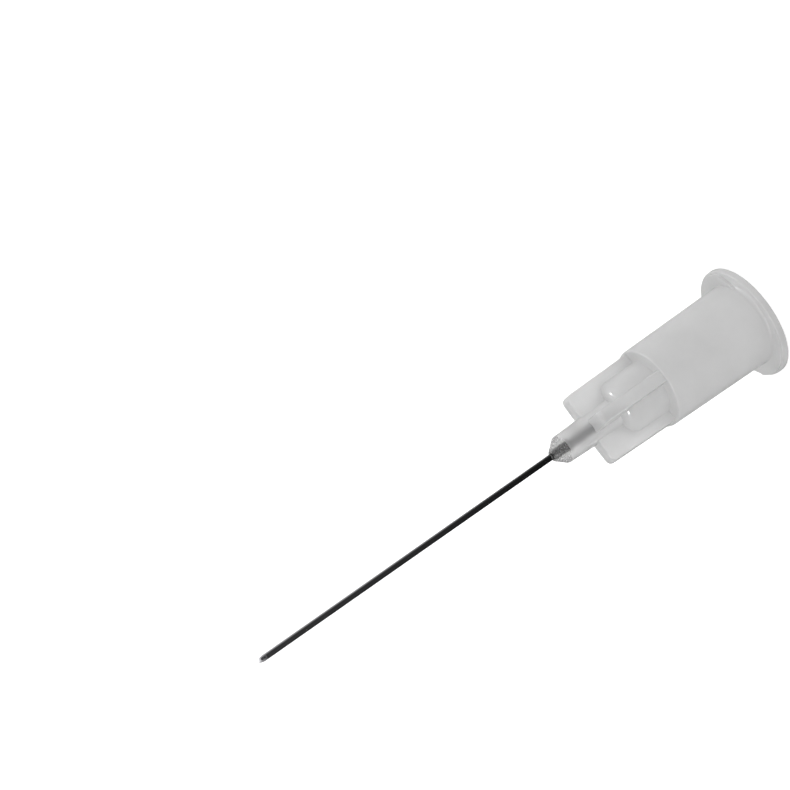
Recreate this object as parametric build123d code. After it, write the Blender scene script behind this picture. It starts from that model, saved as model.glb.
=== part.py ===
from build123d import *
import os

# Blunt 27 gauge cannula: a moulded hub with a female luer lock, a fine steel tube with a closed
# round nose and a side port, and the adhesive that bonds the tube into the hub.
# Millimetres. The axis is Z, the tube points up, and the origin is the centre of the hub's mouth.
# The flange is widest along Y, and the side port looks along +X.

# Steel tube
tube_diameter = 0.41
tube_bore = 0.21
exposed_length = 25.0
tip_length = 0.5
tip_land = 0.04
tip_wall = 0.16
port_length = 0.38
port_width = 0.19

# Luer socket, a cone that narrows by 6 % of its depth
socket_mouth = 4.29
socket_taper = 0.06
socket_depth = 8.2
socket_chamfer = 0.12

# Flange with its two locking lugs, which rise from it as ramps. The overhangs are how far the
# flange stands out beyond the barrel, the inset is from its rim to the lugs, and the lead is how
# far outside the barrel a ramp starts.
flange_overhang = 0.58
lug_overhang = 0.98
flange_thickness = 0.48
flange_chamfer = 0.08
flange_fillet = 0.3
lug_rise = 0.22
lug_turn = 27.0
lug_inset = 0.12
lug_lead = 0.2

# Barrel, from the mouth to its front shoulder
barrel_length = 8.75
barrel_back_diameter = 5.74
barrel_front_diameter = 5.56
shoulder_chamfer = 0.1

# Core, the narrower length in front of the barrel, with a domed front
core_length = 2.3
core_back_diameter = 3.94
core_front_diameter = 3.88
dome_length = 0.95

# Nose, the slim front of the hub with a conical end
hub_length = 17.13
nose_back_diameter = 2.14
nose_front_diameter = 1.9
cone_length = 0.8
nose_land = 0.065

# Four ribs, from the shoulder forward along core and nose
rib_count = 4
rib_length = 5.35
rib_thickness = 1.0
rib_thinning = 0.12
rib_back_diameter = 5.22
rib_front_diameter = 5.06
rib_rounding = 0.35
rib_edge = 0.08

# Passage from the socket to the tube
chamber_back_diameter = 2.1
chamber_front_diameter = 1.9
chamber_length = 2.2
funnel_length = 0.9
funnel_clearance = 0.04

# Bore for the tube and the well for the adhesive
tube_clearance = 0.01
well_depth = 1.35
well_gap = 0.105
meniscus_height = 0.27

# Levels on the axis and radii that follow from the sizes above
shoulder_level = barrel_length
core_level = shoulder_level + core_length
dome_level = core_level + dome_length
rib_level = shoulder_level + rib_length
cone_level = hub_length - cone_length
chamber_level = socket_depth + chamber_length
seat_level = chamber_level + funnel_length
well_level = hub_length - well_depth
tip_level = hub_length + meniscus_height + exposed_length

tube_radius = tube_diameter / 2
lumen_radius = tube_bore / 2
bore_radius = tube_radius + tube_clearance
well_radius = tube_radius + well_gap
nose_tip_radius = well_radius + nose_land
barrel_back_radius = barrel_back_diameter / 2
barrel_front_radius = barrel_front_diameter / 2
flange_reach = barrel_back_radius + flange_overhang
lug_reach = barrel_back_radius + lug_overhang
core_front_radius = core_front_diameter / 2
nose_back_radius = nose_back_diameter / 2
nose_front_radius = nose_front_diameter / 2
funnel_radius = lumen_radius + funnel_clearance / 2


def turned(outline):
    """Turn a closed (radius, height) outline round the Z axis."""
    return revolve(Plane.XZ * make_face(outline), Axis.Z)


def barrel_radius_at(level):
    """Outside radius of the drafted barrel at a height above the mouth."""
    share = (level - flange_thickness) / (barrel_length - flange_thickness)
    return barrel_back_radius + (barrel_front_radius - barrel_back_radius) * share


def hub_body():
    """Barrel, core and nose as one turned outline, with the fillet that meets the flange."""
    fillet_top = flange_thickness + flange_fillet
    fillet_radius = barrel_radius_at(fillet_top)
    shoulder_flat = barrel_front_radius - shoulder_chamfer
    dome_bulge = 0.5 ** 0.5
    dome_width = core_front_radius - nose_back_radius
    outline = Curve() + [
        Line((0, 0), (fillet_radius + flange_fillet, 0)),
        Line((fillet_radius + flange_fillet, 0), (fillet_radius + flange_fillet, flange_thickness)),
        RadiusArc((fillet_radius + flange_fillet, flange_thickness), (fillet_radius, fillet_top),
                  flange_fillet),
        Line((fillet_radius, fillet_top), (barrel_front_radius, shoulder_level - shoulder_chamfer)),
        Line((barrel_front_radius, shoulder_level - shoulder_chamfer), (shoulder_flat, shoulder_level)),
        Line((shoulder_flat, shoulder_level), (core_back_diameter / 2, shoulder_level)),
        Line((core_back_diameter / 2, shoulder_level), (core_front_radius, core_level)),
        ThreePointArc((core_front_radius, core_level),
                      (nose_back_radius + dome_width * dome_bulge, core_level + dome_length * dome_bulge),
                      (nose_back_radius, dome_level)),
        Line((nose_back_radius, dome_level), (nose_front_radius, cone_level)),
        Line((nose_front_radius, cone_level), (nose_tip_radius, hub_length)),
        Line((nose_tip_radius, hub_length), (0, hub_length)),
        Line((0, hub_length), (0, 0)),
    ]
    return turned(outline)


def lug_relief():
    """Space over one half of the flange, above the ramp of its lug and beyond the lug's step."""
    foot = flange_thickness / 2
    lug_level = flange_thickness + lug_rise
    step = barrel_back_radius
    start = -step - lug_lead
    outside = 2 * (lug_reach + flange_reach)
    profile = Polyline((-outside, foot), (start, foot), (start, flange_thickness), (step, lug_level),
                       (step, foot), (outside, foot), (outside, 2 * lug_level), (-outside, 2 * lug_level),
                       close=True)
    return Rot(0, 0, lug_turn) * extrude(Plane.XZ * make_face(profile), -outside)


def flange():
    """Oval flange with chamfered rims and two lugs, which end in a step along a tangent of the barrel."""
    plate = extrude(Ellipse(flange_reach, lug_reach), flange_thickness)
    plate = chamfer(plate.edges().filter_by(GeomType.LINE, reverse=True), flange_chamfer)
    relief = lug_relief()
    lugs = extrude(Ellipse(flange_reach - lug_inset, lug_reach - lug_inset), flange_thickness + lug_rise)
    return plate + (lugs - relief - Rot(0, 0, 180) * relief)


def ribs():
    """Ribs of trapezoid plan, trimmed to a turned envelope that rounds their front corners."""
    back_radius = rib_back_diameter / 2
    front_radius = rib_front_diameter / 2
    inside = nose_front_radius / 2
    root = shoulder_level - shoulder_chamfer
    envelope = turned(Curve() + [
        Line((0, root), (back_radius, root)),
        Line((back_radius, root), (front_radius, rib_level - rib_rounding)),
        RadiusArc((front_radius, rib_level - rib_rounding), (front_radius - rib_rounding, rib_level),
                  -rib_rounding),
        Line((front_radius - rib_rounding, rib_level), (0, rib_level)),
        Line((0, rib_level), (0, root)),
    ])
    half_root = rib_thickness / 2
    half_top = half_root - rib_thinning / 2
    plan = make_face(Polyline((inside, -half_root), (back_radius, -half_top),
                              (back_radius, half_top), (inside, half_root), close=True))
    plan = fillet(plan.vertices().group_by(Axis.X)[-1], rib_edge)
    blade = Pos(0, 0, root) * extrude(plan, rib_level - root)
    return PolarLocations(0, rib_count) * (blade & envelope)


def passage():
    """Luer socket, chamber, funnel, tube bore and adhesive well as one turned cutter."""
    mouth_radius = socket_mouth / 2
    floor_radius = (socket_mouth - socket_taper * socket_depth) / 2
    chamfer_radius = (socket_mouth - socket_taper * socket_chamfer) / 2
    return turned(Curve() + [
        Line((0, 0), (mouth_radius + socket_chamfer, 0)),
        Line((mouth_radius + socket_chamfer, 0), (chamfer_radius, socket_chamfer)),
        Line((chamfer_radius, socket_chamfer), (floor_radius, socket_depth)),
        Line((floor_radius, socket_depth), (chamber_back_diameter / 2, socket_depth)),
        Line((chamber_back_diameter / 2, socket_depth), (chamber_front_diameter / 2, chamber_level)),
        Line((chamber_front_diameter / 2, chamber_level), (funnel_radius, seat_level)),
        Line((funnel_radius, seat_level), (bore_radius, seat_level)),
        Line((bore_radius, seat_level), (bore_radius, well_level)),
        Line((bore_radius, well_level), (well_radius, well_level)),
        Line((well_radius, well_level), (well_radius, hub_length)),
        Line((well_radius, hub_length), (0, hub_length)),
        Line((0, hub_length), (0, 0)),
    ])


def hub():
    """Hub moulding."""
    return hub_body() + flange() + ribs() - passage()


def steel_tube():
    """Tube that stands on the ledge behind its bore, closed at the tip, with an oval side port."""
    nose_level = tip_level - tip_length
    lumen_end = tip_level - tip_wall
    land_radius = tip_land / 2
    outside = turned(Curve() + [
        Line((0, seat_level), (tube_radius, seat_level)),
        Line((tube_radius, seat_level), (tube_radius, nose_level)),
        EllipticalCenterArc((land_radius, nose_level), tube_radius - land_radius, tip_length, arc_size=90),
        Line((land_radius, tip_level), (0, tip_level)),
        Line((0, tip_level), (0, seat_level)),
    ])
    lumen = turned(Curve() + [
        Line((0, seat_level), (lumen_radius, seat_level)),
        Line((lumen_radius, seat_level), (lumen_radius, lumen_end - lumen_radius)),
        RadiusArc((lumen_radius, lumen_end - lumen_radius), (0, lumen_end), -lumen_radius),
        Line((0, lumen_end), (0, seat_level)),
    ])
    port_plan = Plane(origin=(0, 0, lumen_end - port_length / 2), x_dir=(0, 0, 1), z_dir=(1, 0, 0))
    port = extrude(port_plan * SlotOverall(port_length, port_width), tube_diameter)
    return outside - lumen - port


def adhesive():
    """Adhesive that fills the well round the tube and creeps up it as a small meniscus."""
    return turned(Curve() + [
        Line((tube_radius, well_level), (well_radius, well_level)),
        Line((well_radius, well_level), (well_radius, hub_length)),
        ThreePointArc((well_radius, hub_length),
                      (tube_radius + well_gap * 0.3, hub_length + meniscus_height * 0.35),
                      (tube_radius, hub_length + meniscus_height)),
        Line((tube_radius, hub_length + meniscus_height), (tube_radius, well_level)),
    ])


os.makedirs("parts", exist_ok=True)
pieces = {"hub": hub(), "steel_tube": steel_tube(), "adhesive": adhesive()}
for name, piece in pieces.items():
    export_step(piece, f"parts/{name}.step")
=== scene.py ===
import math
import bmesh
import bpy
from mathutils import Matrix, Quaternion, Vector


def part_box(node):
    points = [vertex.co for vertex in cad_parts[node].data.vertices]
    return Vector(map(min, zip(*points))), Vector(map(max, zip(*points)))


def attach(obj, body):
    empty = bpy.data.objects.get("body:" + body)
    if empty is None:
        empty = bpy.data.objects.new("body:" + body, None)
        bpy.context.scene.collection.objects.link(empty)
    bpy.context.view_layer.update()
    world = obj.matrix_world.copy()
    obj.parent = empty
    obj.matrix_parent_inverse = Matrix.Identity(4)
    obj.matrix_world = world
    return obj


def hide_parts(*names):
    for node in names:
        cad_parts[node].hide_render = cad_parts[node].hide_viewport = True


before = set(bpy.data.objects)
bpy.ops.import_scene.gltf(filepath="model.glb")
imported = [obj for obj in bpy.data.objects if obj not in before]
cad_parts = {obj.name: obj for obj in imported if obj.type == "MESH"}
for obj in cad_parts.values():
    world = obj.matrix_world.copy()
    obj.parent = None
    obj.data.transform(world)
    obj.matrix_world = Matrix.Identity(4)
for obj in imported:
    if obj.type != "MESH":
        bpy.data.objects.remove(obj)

print("frame loaded:", ", ".join(sorted(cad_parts)))
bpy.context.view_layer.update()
mm = 0.001
white = (1.0, 1.0, 1.0, 1.0)


def addNode(nodes, kind, where, **values):
    node = nodes.new(kind)
    node.location = where
    for key, value in values.items():
        setattr(node, key, value)
    return node


def setInputs(node, values):
    # fills in a node's inputs by their names or numbers
    for key, value in values.items():
        node.inputs[key].default_value = value


def newMaterial(name):
    # an empty node material, given back with its nodes, its links and its Principled shader
    mat = bpy.data.materials.new(name)
    mat.use_nodes = True
    nodes = mat.node_tree.nodes
    return mat, nodes, mat.node_tree.links, nodes["Principled BSDF"]


def newGroup(name, inputs, outputs):
    # a node group with the named sockets, given back with its nodes and its links
    group = bpy.data.node_groups.new(name, "ShaderNodeTree")
    for socketName, kind, value in inputs:
        socket = group.interface.new_socket(socketName, in_out="INPUT", socket_type="NodeSocket" + kind)
        socket.default_value = value
    for socketName, kind in outputs:
        group.interface.new_socket(socketName, in_out="OUTPUT", socket_type="NodeSocket" + kind)
    return group, group.nodes, group.links


# the hub as moulded, in mm: sizes of the section that is spun round the axis, and its roundings.
# Corners turned more than "sharpAngle" degrees are shaded sharp
hubShape = {
    "mouthRadius": 2.145, "mouthEase": 0.12, "mouthRound": 0.03,
    "socketTaper": 0.03, "socketDepth": 8.2, "socketEndRound": 0.05,
    "flangeAcross": 6.9, "flangeLong": 7.7, "flangeThickness": 0.48,
    "flangeRound": 0.09, "flangeFillet": 0.3,
    "barrelBack": 2.87, "barrelFront": 2.78, "shoulder": 8.75, "shoulderRound": 0.12,
    "coreBack": 1.97, "coreFront": 1.93, "coreFillet": 0.06, "domeTop": 12.0, "domeRound": 0.86,
    "noseBack": 1.07, "noseFront": 0.95, "coneStart": 16.33, "noseRound": 0.06,
    "noseTip": 0.375, "noseTipRound": 0.025,
    "chamberBack": 1.05, "chamberFront": 0.95, "chamberEnd": 10.4, "chamberEndRound": 0.1,
    "funnelEnd": 11.32, "funnelRadius": 0.125, "tubeSeat": 0.2,
    "turnSteps": 96, "sharpAngle": 40,
}
# a locking lug, in mm: "turn" is in degrees and "sharpTurn" in radians
lugShape = {
    "inset": 0.12, "rise": 0.22, "turn": 27.0, "lead": 0.2, "inside": 2.5, "foot": 0.3, "edgeRound": 0.05,
    "nearlyFlat": 0.001, "sharpTurn": 1, "cutMerge": 0.0001,
}
# the ribs, in mm: "closeBy" and "justBelow" are the play with which an edge is found
ribShape = {
    "count": 4, "top": 14.1, "root": 8.4, "innerRoot": 1.3, "innerTop": 0.7,
    "outerRoot": 2.61, "outerTop": 2.53, "cornerRound": 0.35,
    "thickness": 1.0, "thinning": 0.12, "edgeRound": 0.08,
    "closeBy": 0.1, "justBelow": 0.01,
}
# how many steps a rounding takes: those wider than "wideFrom" (mm) take more
roundSteps = {"wideFrom": 0.2, "wide": 7, "narrow": 4, "edge": 3}


def vertsOf(made):
    return [item for item in made["geom"] if isinstance(item, bmesh.types.BMVert)]


def outlineFace(bm, corners):
    # a face in the plane of X and Z from (radius, height, rounding) corners in mm
    verts = [bm.verts.new((radius * mm, 0, height * mm)) for radius, height, rounding in corners]
    bm.faces.new(verts)
    for vert, (radius, height, rounding) in zip(verts, corners):
        if rounding:
            steps = roundSteps["wide"] if rounding > roundSteps["wideFrom"] else roundSteps["narrow"]
            bmesh.ops.bevel(bm, geom=[vert], offset=rounding * mm, offset_type="OFFSET", segments=steps,
                            profile=0.5, affect="VERTICES", clamp_overlap=False, material=-1)


def easeEdges(bm, edges, width):
    # rounds the edges, with a width in mm
    bmesh.ops.bevel(bm, geom=edges, offset=width * mm, offset_type="OFFSET", segments=roundSteps["edge"],
                    profile=0.5, affect="EDGES", clamp_overlap=True, material=-1)


def turnAbout(bm, angle):
    # turns everything about the hub's axis, by radians
    turned = Matrix.Rotation(angle, 3, "Z")
    bmesh.ops.rotate(bm, cent=(0, 0, 0), matrix=turned, verts=bm.verts)


def turnedHub():
    # flange, barrel, core and nose outside, and socket, chamber and tube bore inside, in one closed ring
    h = hubShape
    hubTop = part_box("hub")[1][2] / mm
    long = h["flangeLong"] / 2
    across = h["flangeAcross"] / 2
    socketEnd = h["mouthRadius"] - h["socketTaper"] * h["socketDepth"]
    bm = bmesh.new()
    outlineFace(bm, [
        (h["mouthRadius"], h["mouthEase"], 0),
        (h["mouthRadius"] + h["mouthEase"], 0, h["mouthRound"]),
        (long, 0, h["flangeRound"]),
        (long, h["flangeThickness"], h["flangeRound"]),
        (h["barrelBack"], h["flangeThickness"], h["flangeFillet"]),
        (h["barrelFront"], h["shoulder"], h["shoulderRound"]),
        (h["coreBack"], h["shoulder"], h["coreFillet"]),
        (h["coreFront"], h["domeTop"], h["domeRound"]),
        (h["noseBack"], h["domeTop"], 0),
        (h["noseFront"], h["coneStart"], h["noseRound"]),
        (h["noseTip"], hubTop, h["noseTipRound"]),
        (h["tubeSeat"], hubTop, 0),
        (h["tubeSeat"], h["funnelEnd"], 0),
        (h["funnelRadius"], h["funnelEnd"], 0),
        (h["chamberFront"], h["chamberEnd"], h["chamberEndRound"]),
        (h["chamberBack"], h["socketDepth"], h["socketEndRound"]),
        (socketEnd, h["socketDepth"], h["socketEndRound"]),
    ])
    bmesh.ops.delete(bm, geom=bm.faces[:], context="FACES_ONLY")
    bmesh.ops.spin(bm, geom=bm.verts[:] + bm.edges[:], cent=(0, 0, 0), axis=(0, 0, 1), angle=math.tau,
                   steps=h["turnSteps"], use_merge=True)
    for vert in bm.verts:  # the rim moves in to an oval, and keeps its rounding
        reach = vert.co.xy.length / mm
        if reach > long - 2 * h["flangeRound"]:
            angle = math.atan2(vert.co.y, vert.co.x)
            oval = across * long / math.hypot(long * math.cos(angle), across * math.sin(angle))
            vert.co.xy *= (reach - long + oval) / reach
    bmesh.ops.recalc_face_normals(bm, faces=bm.faces)
    return bm


def lugRamp(angle):
    # a locking lug: part of an oval ring on the flange, sloped along a tangent of the barrel
    h = hubShape
    lug = lugShape
    start = -h["barrelBack"] - lug["lead"]
    step = h["barrelBack"]
    across = h["flangeAcross"] / 2 - lug["inset"]
    long = h["flangeLong"] / 2 - lug["inset"]
    bm = bmesh.new()
    rim = bmesh.ops.create_circle(bm, segments=h["turnSteps"], radius=mm)["verts"]
    bmesh.ops.scale(bm, vec=(across, long, 1), verts=rim)
    bmesh.ops.create_circle(bm, segments=h["turnSteps"], radius=lug["inside"] * mm)
    bmesh.ops.bridge_loops(bm, edges=bm.edges)
    turned = Matrix.Rotation(math.radians(lug["turn"]), 3, "Z")
    alongRamp = turned @ Vector((1, 0, 0))
    towardsLug = turned @ Vector((0, 1, 0))
    for spot, cut in ((0, -towardsLug), (step, alongRamp), (-start, -alongRamp)):
        bmesh.ops.bisect_plane(bm, geom=bm.verts[:] + bm.edges[:] + bm.faces[:], dist=lug["cutMerge"] * mm,
                               plane_co=cut * spot * mm, plane_no=cut, clear_outer=True)
    base = bm.verts[:]
    top = vertsOf(bmesh.ops.extrude_face_region(bm, geom=bm.faces[:]))
    for vert in base:
        vert.co.z = lug["foot"] * mm
    for vert in top:
        share = (vert.co.dot(alongRamp) / mm - start) / (step - start)
        vert.co.z = (h["flangeThickness"] + lug["rise"] * share) * mm
    bmesh.ops.recalc_face_normals(bm, faces=bm.faces)
    flangeTop = (h["flangeThickness"] + lug["nearlyFlat"]) * mm
    barrel = h["barrelBack"] * mm
    shown = {vert for vert in top if vert.co.z > flangeTop and vert.co.xy.length > barrel}
    eased = [edge for edge in bm.edges
             if set(edge.verts) <= shown and edge.calc_face_angle(0) > lug["sharpTurn"]]
    easeEdges(bm, eased, lug["edgeRound"])
    turnAbout(bm, angle)
    return bm


def ribBlade(angle):
    # one rib: a thin blade that gets thinner outwards, with a round front corner and eased edges
    r = ribShape
    bm = bmesh.new()
    outlineFace(bm, [
        (r["innerRoot"], r["root"], 0),
        (r["outerRoot"], r["root"], 0),
        (r["outerTop"], r["top"], r["cornerRound"]),
        (r["innerTop"], r["top"], 0),
    ])
    far = vertsOf(bmesh.ops.extrude_face_region(bm, geom=bm.faces[:]))
    bmesh.ops.translate(bm, vec=(0, r["thickness"] * mm, 0), verts=far)
    for vert in bm.verts:
        share = (vert.co.x / mm - r["innerTop"]) / (r["outerRoot"] - r["innerTop"])
        half = (r["thickness"] - r["thinning"] * share) / 2
        vert.co.y = math.copysign(half * mm, vert.co.y - r["thickness"] / 2 * mm)
    bmesh.ops.recalc_face_normals(bm, faces=bm.faces)

    inner = (r["innerRoot"] + r["closeBy"]) * mm
    front = (r["top"] - r["justBelow"]) * mm
    root = (r["root"] + r["closeBy"]) * mm

    def isShown(edge):  # along the outer edge and the front, on either side of the blade
        sameSide = abs(edge.verts[0].co.y - edge.verts[1].co.y) < r["closeBy"] * mm
        outside = all(vert.co.x > inner or vert.co.z > front for vert in edge.verts)
        return sameSide and outside and max(vert.co.z for vert in edge.verts) > root

    easeEdges(bm, [edge for edge in bm.edges if isShown(edge)], r["edgeRound"])
    turnAbout(bm, angle)
    return bm


def meshObject(name, bm):
    mesh = bpy.data.meshes.new(name)
    bm.to_mesh(mesh)
    bm.free()
    obj = bpy.data.objects.new(name, mesh)
    bpy.context.collection.objects.link(obj)
    return obj


def mouldedHub():
    # the turned body joined with its lugs and ribs into one closed mesh
    hub = meshObject("moulded_hub", turnedHub())
    added = [meshObject("lug", lugRamp(angle)) for angle in (0, math.pi)]
    for index in range(ribShape["count"]):
        added.append(meshObject("rib", ribBlade(index * math.tau / ribShape["count"])))
    for piece in added:
        union = hub.modifiers.new("join", "BOOLEAN")
        union.operation = "UNION"
        union.solver = "MANIFOLD"
        union.object = piece
    bpy.context.view_layer.update()
    joined = bpy.data.meshes.new_from_object(hub.evaluated_get(bpy.context.evaluated_depsgraph_get()))
    hub.modifiers.clear()
    hub.data = joined
    for piece in added:
        bpy.data.objects.remove(piece)
    joined.shade_smooth()
    joined.set_sharp_from_angle(angle=math.radians(hubShape["sharpAngle"]))
    return hub


hub = mouldedHub()
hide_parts("hub")
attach(hub, "root")
print("hub moulded:", len(hub.data.polygons), "faces")

# how the surface finish reads its two noises: detail, the range in use and their shares in the roughness
finishMix = {
    "cloudDetail": 3.0, "grainDetail": 2.0, "lowest": 0.3, "highest": 0.7,
    "cloudShare": 0.5, "grainShare": 0.5,
}


def finishGroup():
    # soft clouds and a fine grain: tints a colour, spreads a roughness and gives a height for the bump
    mix = finishMix
    fullTone = 1.0
    group, nodes, links = newGroup("surface_finish", [
        ("Colour", "Color", (0.7, 0.7, 0.7, 1.0)),
        ("Cloud Size", "Float", 600.0),
        ("Cloud Amount", "Float", 0.1),
        ("Grain Size", "Float", 9000.0),
        ("Stretch", "Vector", (1.0, 1.0, 1.0)),
        ("Smoothest", "Float", 0.3),
        ("Roughest", "Float", 0.4),
    ], [("Colour", "Color"), ("Roughness", "Float"), ("Height", "Float")])
    given = addNode(nodes, "NodeGroupInput", (-1000, 0))
    place = addNode(nodes, "ShaderNodeTexCoord", (-1000, 300))
    stretched = addNode(nodes, "ShaderNodeMapping", (-800, 200))
    clouds = addNode(nodes, "ShaderNodeTexNoise", (-560, 260))
    setInputs(clouds, {"Detail": mix["cloudDetail"]})
    grain = addNode(nodes, "ShaderNodeTexNoise", (-560, -60))
    setInputs(grain, {"Detail": mix["grainDetail"]})
    darker = addNode(nodes, "ShaderNodeMapRange", (-300, 260))
    setInputs(darker, {"From Min": mix["lowest"], "From Max": mix["highest"], "To Min": fullTone})
    lessCloud = addNode(nodes, "ShaderNodeMath", (-500, 500), operation="SUBTRACT")
    setInputs(lessCloud, {0: fullTone})
    tint = addNode(nodes, "ShaderNodeVectorMath", (-80, 260), operation="SCALE")
    spread = addNode(nodes, "ShaderNodeMapRange", (-80, 0))
    setInputs(spread, {"From Min": mix["lowest"], "From Max": mix["highest"]})
    both = addNode(nodes, "ShaderNodeMath", (-300, -60), operation="MULTIPLY_ADD")
    setInputs(both, {1: mix["cloudShare"]})
    grainPart = addNode(nodes, "ShaderNodeMath", (-300, -260), operation="MULTIPLY")
    setInputs(grainPart, {1: mix["grainShare"]})
    result = addNode(nodes, "NodeGroupOutput", (200, 0))
    links.new(place.outputs["Object"], stretched.inputs["Vector"])
    links.new(given.outputs["Stretch"], stretched.inputs["Scale"])
    links.new(stretched.outputs["Vector"], clouds.inputs["Vector"])
    links.new(stretched.outputs["Vector"], grain.inputs["Vector"])
    links.new(given.outputs["Cloud Size"], clouds.inputs["Scale"])
    links.new(given.outputs["Grain Size"], grain.inputs["Scale"])
    links.new(given.outputs["Cloud Amount"], lessCloud.inputs[1])
    links.new(clouds.outputs["Fac"], darker.inputs["Value"])
    links.new(lessCloud.outputs["Value"], darker.inputs["To Max"])
    links.new(given.outputs["Colour"], tint.inputs[0])
    links.new(darker.outputs["Result"], tint.inputs["Scale"])
    links.new(grain.outputs["Fac"], grainPart.inputs[0])
    links.new(clouds.outputs["Fac"], both.inputs[0])
    links.new(grainPart.outputs["Value"], both.inputs[2])
    links.new(both.outputs["Value"], spread.inputs["Value"])
    links.new(given.outputs["Smoothest"], spread.inputs["To Min"])
    links.new(given.outputs["Roughest"], spread.inputs["To Max"])
    links.new(tint.outputs["Vector"], result.inputs["Colour"])
    links.new(spread.outputs["Result"], result.inputs["Roughness"])
    links.new(grain.outputs["Fac"], result.inputs["Height"])
    return group


def heightToneGroup():
    # Low Tone is painted shade: it darkens a colour at the low height and fades away towards the high one.
    # Matt Amount is added to the roughness from one height to another (heights in metres)
    group, nodes, links = newGroup("height_tone", [
        ("Colour", "Color", (0.8, 0.8, 0.8, 1.0)),
        ("Roughness", "Float", 0.3),
        ("Low Height", "Float", 0.0),
        ("High Height", "Float", 0.01),
        ("Low Tone", "Float", 0.5),
        ("Matt From", "Float", 0.01),
        ("Matt To", "Float", 0.011),
        ("Matt Amount", "Float", 0.3),
    ], [("Colour", "Color"), ("Roughness", "Float")])
    given = addNode(nodes, "NodeGroupInput", (-600, 0))
    place = addNode(nodes, "ShaderNodeTexCoord", (-800, 300))
    split = addNode(nodes, "ShaderNodeSeparateXYZ", (-600, 300))
    tone = addNode(nodes, "ShaderNodeMapRange", (-350, 200))
    toned = addNode(nodes, "ShaderNodeVectorMath", (-100, 100), operation="SCALE")
    matt = addNode(nodes, "ShaderNodeMapRange", (-350, -200))
    rougher = addNode(nodes, "ShaderNodeMath", (-100, -150), operation="ADD")
    result = addNode(nodes, "NodeGroupOutput", (150, 0))
    links.new(place.outputs["Object"], split.inputs["Vector"])
    links.new(split.outputs["Z"], tone.inputs["Value"])
    links.new(given.outputs["Low Height"], tone.inputs["From Min"])
    links.new(given.outputs["High Height"], tone.inputs["From Max"])
    links.new(given.outputs["Low Tone"], tone.inputs["To Min"])
    links.new(given.outputs["Colour"], toned.inputs[0])
    links.new(tone.outputs["Result"], toned.inputs["Scale"])
    links.new(toned.outputs["Vector"], result.inputs["Colour"])
    links.new(split.outputs["Z"], matt.inputs["Value"])
    links.new(given.outputs["Matt From"], matt.inputs["From Min"])
    links.new(given.outputs["Matt To"], matt.inputs["From Max"])
    links.new(given.outputs["Matt Amount"], matt.inputs["To Max"])
    links.new(given.outputs["Roughness"], rougher.inputs[0])
    links.new(matt.outputs["Result"], rougher.inputs[1])
    links.new(rougher.outputs["Value"], result.inputs["Roughness"])
    return group


surfaceFinish = finishGroup()
heightTone = heightToneGroup()


def finishedMaterial(name, look):
    # a material whose colour, roughness and fine bump come from the surface finish with its own values
    mat, nodes, links, shader = newMaterial(name)
    finish = addNode(nodes, "ShaderNodeGroup", (-500, 200), node_tree=surfaceFinish)
    bump = addNode(nodes, "ShaderNodeBump", (-250, -150))
    smoothest, roughest = look["roughness"]
    setInputs(finish, {
        "Colour": look["colour"],
        "Cloud Size": look["cloudSize"],
        "Cloud Amount": look["cloudAmount"],
        "Grain Size": look["grainSize"],
        "Stretch": look["stretch"],
        "Smoothest": smoothest,
        "Roughest": roughest,
    })
    setInputs(bump, {"Strength": look["bump"], "Distance": look["bumpDepth"] * mm})
    setInputs(shader, {
        "Metallic": look["metallic"],
        "Transmission Weight": look["clearness"],
        "IOR": look["ior"],
        "Coat Weight": look["coat"],
        "Coat Roughness": look["coatRoughness"],
        "Emission Color": look["colour"],
        "Emission Strength": look["glow"],
    })
    links.new(finish.outputs["Colour"], shader.inputs["Base Color"])
    links.new(finish.outputs["Roughness"], shader.inputs["Roughness"])
    links.new(finish.outputs["Height"], bump.inputs["Height"])
    links.new(bump.outputs["Normal"], shader.inputs["Normal"])
    return mat


# frosted grey plastic, which is clearer in the thin nose and clearest in its polished cone.
# Its glow stands in for light scattered inside it
hubLook = {
    "colour": (0.6, 0.6, 0.6, 1.0), "clearness": 0.57, "ior": 1.49, "metallic": 0.0, "glow": 0.14,
    "roughness": (0.5, 0.62), "coat": 0.5, "coatRoughness": 0.1,
    "cloudSize": 500.0, "cloudAmount": 0.08, "grainSize": 9000.0, "stretch": (1, 1, 1),
    "bump": 0.15, "bumpDepth": 0.004,
}
noseLook = dict(hubLook, colour=(0.66, 0.66, 0.66, 1.0), clearness=0.79, glow=0.06, roughness=(0.46, 0.54))
noseTipLook = dict(hubLook, colour=(0.68, 0.68, 0.68, 1.0), clearness=0.95, glow=0.03,
                   roughness=(0.22, 0.3), coat=0.1, bump=0.04)
steelLook = {
    "colour": (0.9, 0.9, 0.92, 1.0), "clearness": 0.0, "ior": 1.5, "metallic": 1.0, "glow": 0.0,
    "roughness": (0.16, 0.3), "coat": 0.0, "coatRoughness": 0.1,
    "cloudSize": 2500.0, "cloudAmount": 0.35, "grainSize": 16000.0, "stretch": (1, 1, 0.06),
    "bump": 0.2, "bumpDepth": 0.002,
}
# painted shade: the steel's colour is darkened towards the hub and is lightest at the tube's tip, which is
# also ground matt
steelShadeAndMatt = {
    "Low Height": 19.0 * mm, "High Height": 42.0 * mm, "Low Tone": 0.26,
    "Matt From": 41.75 * mm, "Matt To": 42.0 * mm, "Matt Amount": 0.5,
}
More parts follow.
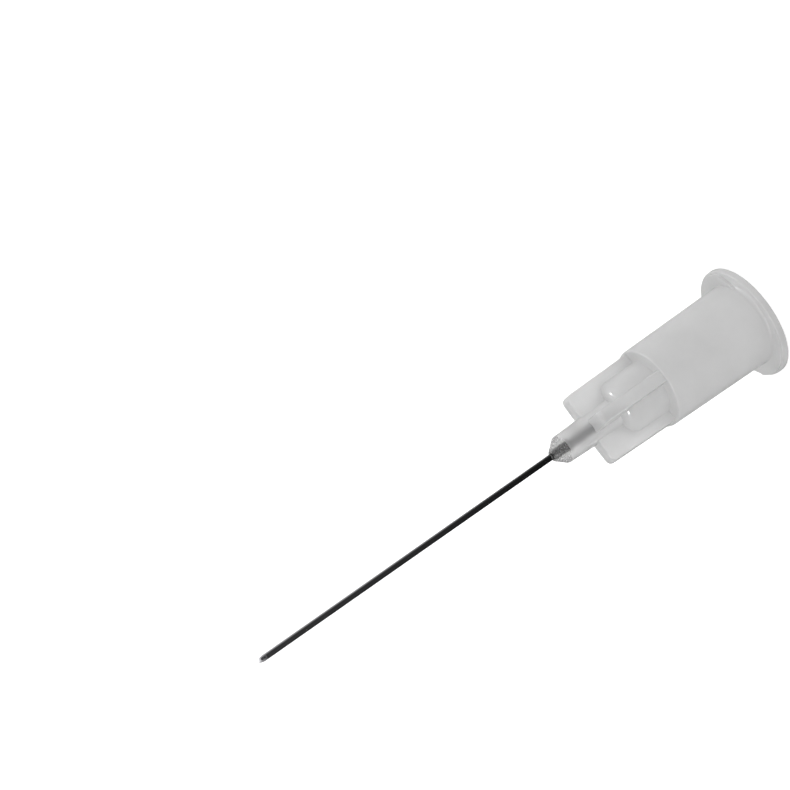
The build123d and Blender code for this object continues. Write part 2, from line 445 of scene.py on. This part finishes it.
# cured adhesive, bent little by light because it lies inside the clear plastic
adhesiveLook = {
    "colour": (0.99, 0.99, 0.97, 1.0), "clearness": 1.0, "ior": 1.1, "metallic": 0.0, "glow": 0.0,
    "roughness": (0.04, 0.12), "coat": 0.5, "coatRoughness": 0.1,
    "cloudSize": 6000.0, "cloudAmount": 0.2, "grainSize": 8000.0, "stretch": (1, 1, 1),
    "bump": 0.1, "bumpDepth": 0.003,
}
hubMat = finishedMaterial("hub_frosted_plastic", hubLook)
noseMat = finishedMaterial("hub_nose_plastic", noseLook)
noseTipMat = finishedMaterial("hub_nose_tip_plastic", noseTipLook)
steelMat = finishedMaterial("tube_polished_steel", steelLook)
nodes, links = steelMat.node_tree.nodes, steelMat.node_tree.links
# painted shade on the steel's colour towards the hub, and a rougher matt tip
shadeAndMatt = addNode(nodes, "ShaderNodeGroup", (-250, 350), node_tree=heightTone)
setInputs(shadeAndMatt, steelShadeAndMatt)
for finishSocket, shaderSocket in (("Colour", "Base Color"), ("Roughness", "Roughness")):
    links.new(nodes["Group"].outputs[finishSocket], shadeAndMatt.inputs[finishSocket])
    links.new(shadeAndMatt.outputs[finishSocket], nodes["Principled BSDF"].inputs[shaderSocket])
adhesiveMat = finishedMaterial("adhesive_clear", adhesiveLook)

plastics = [hubMat, noseMat, noseTipMat]
justOver = 0.01
coneFrom = (hubShape["coneStart"] - hubShape["noseRound"]) * mm
noseFrom = hubShape["domeTop"] * mm
noseReach = (hubShape["noseBack"] + justOver) * mm
hub.data.materials.clear()
for mat in plastics:
    hub.data.materials.append(mat)
for face in hub.data.polygons:
    if face.center.z > coneFrom:
        face.material_index = plastics.index(noseTipMat)
    elif face.center.z > noseFrom and face.center.xy.length < noseReach:
        face.material_index = plastics.index(noseMat)
for node, mat in (("steel_tube", steelMat), ("adhesive", adhesiveMat)):
    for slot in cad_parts[node].material_slots:
        slot.material = mat
print("materials set")

# a plain floor just under the part ("gap" in mm), which reflections don't see
floorLook = {"size": 3.0, "gap": 0.01, "colour": (0.92, 0.92, 0.92, 1.0), "roughness": 0.9, "glow": 0.25}
bpy.ops.mesh.primitive_plane_add(size=floorLook["size"], location=(0, 0, -floorLook["gap"] * mm))
floor = bpy.context.object
floor.name = "floor"
floorMat, nodes, links, shader = newMaterial("floor_white")
setInputs(shader, {
    "Base Color": floorLook["colour"],
    "Roughness": floorLook["roughness"],
    "Emission Color": white,
    "Emission Strength": floorLook["glow"],
})
floor.data.materials.append(floorMat)
floor.visible_glossy = False
print("floor laid")

# lamps: +X is the camera's side and +Y the picture's upper left. The broad ones at the sides are
# left out of reflections, the sparkle ones are seen in reflections alone, and none shows through plastic
lightSetup = {
    "overhead": {"place": (-0.1, 0.1, 1.0), "size": 0.8, "power": 2, "lights": True, "shines": True},
    "upperLeft": {"place": (0.25, 0.9, 0.45), "size": 0.3, "power": 1.9, "lights": True, "shines": False},
    "lowerRight": {"place": (0.35, -0.9, 0.4), "size": 0.3, "power": 1.4, "lights": True, "shines": False},
    "sparkleSide": {"place": (-0.08, 0.68, 0.73), "size": 0.08, "power": 5, "lights": False, "shines": True},
    "sparkleTop": {"place": (0.33, -0.43, 0.84), "size": 0.1, "power": 6, "lights": False, "shines": True},
}
for name, light in lightSetup.items():
    data = bpy.data.lights.new(name, "AREA")
    data.shape = "DISK"
    data.size = light["size"]
    data.energy = light["power"]
    lamp = bpy.data.objects.new(name, data)
    lamp.location = light["place"]
    lamp.rotation_mode = "QUATERNION"
    lamp.rotation_quaternion = Vector(light["place"]).to_track_quat("Z", "Y")
    lamp.visible_diffuse = light["lights"]
    lamp.visible_glossy = light["shines"]
    lamp.visible_transmission = False
    bpy.context.collection.objects.link(lamp)
print("lamps placed")

# a white dome lights everything, and reflections see darker walls that brighten towards one side.
# "darkUntil" and "brightFrom" say how near to that side a wall is, up to 1, and "fromBounce" is the
# number of reflections above which a ray sees the walls
studioWalls = {
    "dome": 0.9,
    "brightSide": (-0.45, 0.85, 0.25),
    "darkUntil": 0.2,
    "brightFrom": 1.0,
    "darkWall": 0.045,
    "brightWall": 0.9,
    "fromBounce": 0.5,
}
world = bpy.data.worlds.new("studio")
world.use_nodes = True
nodes, links = world.node_tree.nodes, world.node_tree.links
dome = nodes["Background"]
dome.location = (200, 200)
setInputs(dome, {"Strength": studioWalls["dome"], "Color": white})
direction = addNode(nodes, "ShaderNodeTexCoord", (-800, 0))
towards = addNode(nodes, "ShaderNodeVectorMath", (-600, 0), operation="DOT_PRODUCT")
setInputs(towards, {1: Vector(studioWalls["brightSide"]).normalized()})
wallTone = addNode(nodes, "ShaderNodeMapRange", (-400, 0), interpolation_type="SMOOTHSTEP")
setInputs(wallTone, {
    "From Min": studioWalls["darkUntil"],
    "From Max": studioWalls["brightFrom"],
    "To Min": studioWalls["darkWall"],
    "To Max": studioWalls["brightWall"],
})
walls = addNode(nodes, "ShaderNodeBackground", (200, 0))
rayKind = addNode(nodes, "ShaderNodeLightPath", (200, 600))
seesWalls = addNode(nodes, "ShaderNodeMath", (300, 400), operation="GREATER_THAN")
setInputs(seesWalls, {1: studioWalls["fromBounce"]})
mixWalls = addNode(nodes, "ShaderNodeMixShader", (400, 200))
links.new(direction.outputs["Generated"], towards.inputs[0])
links.new(towards.outputs["Value"], wallTone.inputs["Value"])
links.new(wallTone.outputs["Result"], walls.inputs["Strength"])
links.new(rayKind.outputs["Glossy Depth"], seesWalls.inputs[0])
links.new(seesWalls.outputs["Value"], mixWalls.inputs["Fac"])
links.new(dome.outputs["Background"], mixWalls.inputs[1])
links.new(walls.outputs["Background"], mixWalls.inputs[2])
links.new(mixWalls.outputs["Shader"], nodes["World Output"].inputs["Surface"])
bpy.context.scene.world = world
bpy.context.scene.view_settings.view_transform = "Standard"
print("studio walls set")

# camera: metres and degrees, and mm for the sensor. Its lens follows from the photo's focal length
# and width in pixels
cameraSetup = {
    "aim": (0.0, 8.82 * mm, 23.40 * mm),
    "distance": 0.88975,
    "azimuth": -5.642,
    "elevation": 28.078,
    "roll": 124.664,
    "focalPixels": 14213,
    "widthPixels": 790,
    "sensor": 36,
}
azimuth = math.radians(cameraSetup["azimuth"])
elevation = math.radians(cameraSetup["elevation"])
level = math.cos(elevation)
outward = Vector((level * math.cos(azimuth), level * math.sin(azimuth), math.sin(elevation)))
roll = Quaternion((0, 0, 1), -math.radians(cameraSetup["roll"]))
cameraData = bpy.data.cameras.new("camera")
cameraData.lens = cameraSetup["focalPixels"] / cameraSetup["widthPixels"] * cameraSetup["sensor"]
cameraData.sensor_width = cameraSetup["sensor"]
camera = bpy.data.objects.new("camera", cameraData)
camera.location = Vector(cameraSetup["aim"]) + outward * cameraSetup["distance"]
camera.rotation_mode = "QUATERNION"
camera.rotation_quaternion = outward.to_track_quat("Z", "Y") @ roll
bpy.context.collection.objects.link(camera)
bpy.context.scene.camera = camera
print("camera placed")
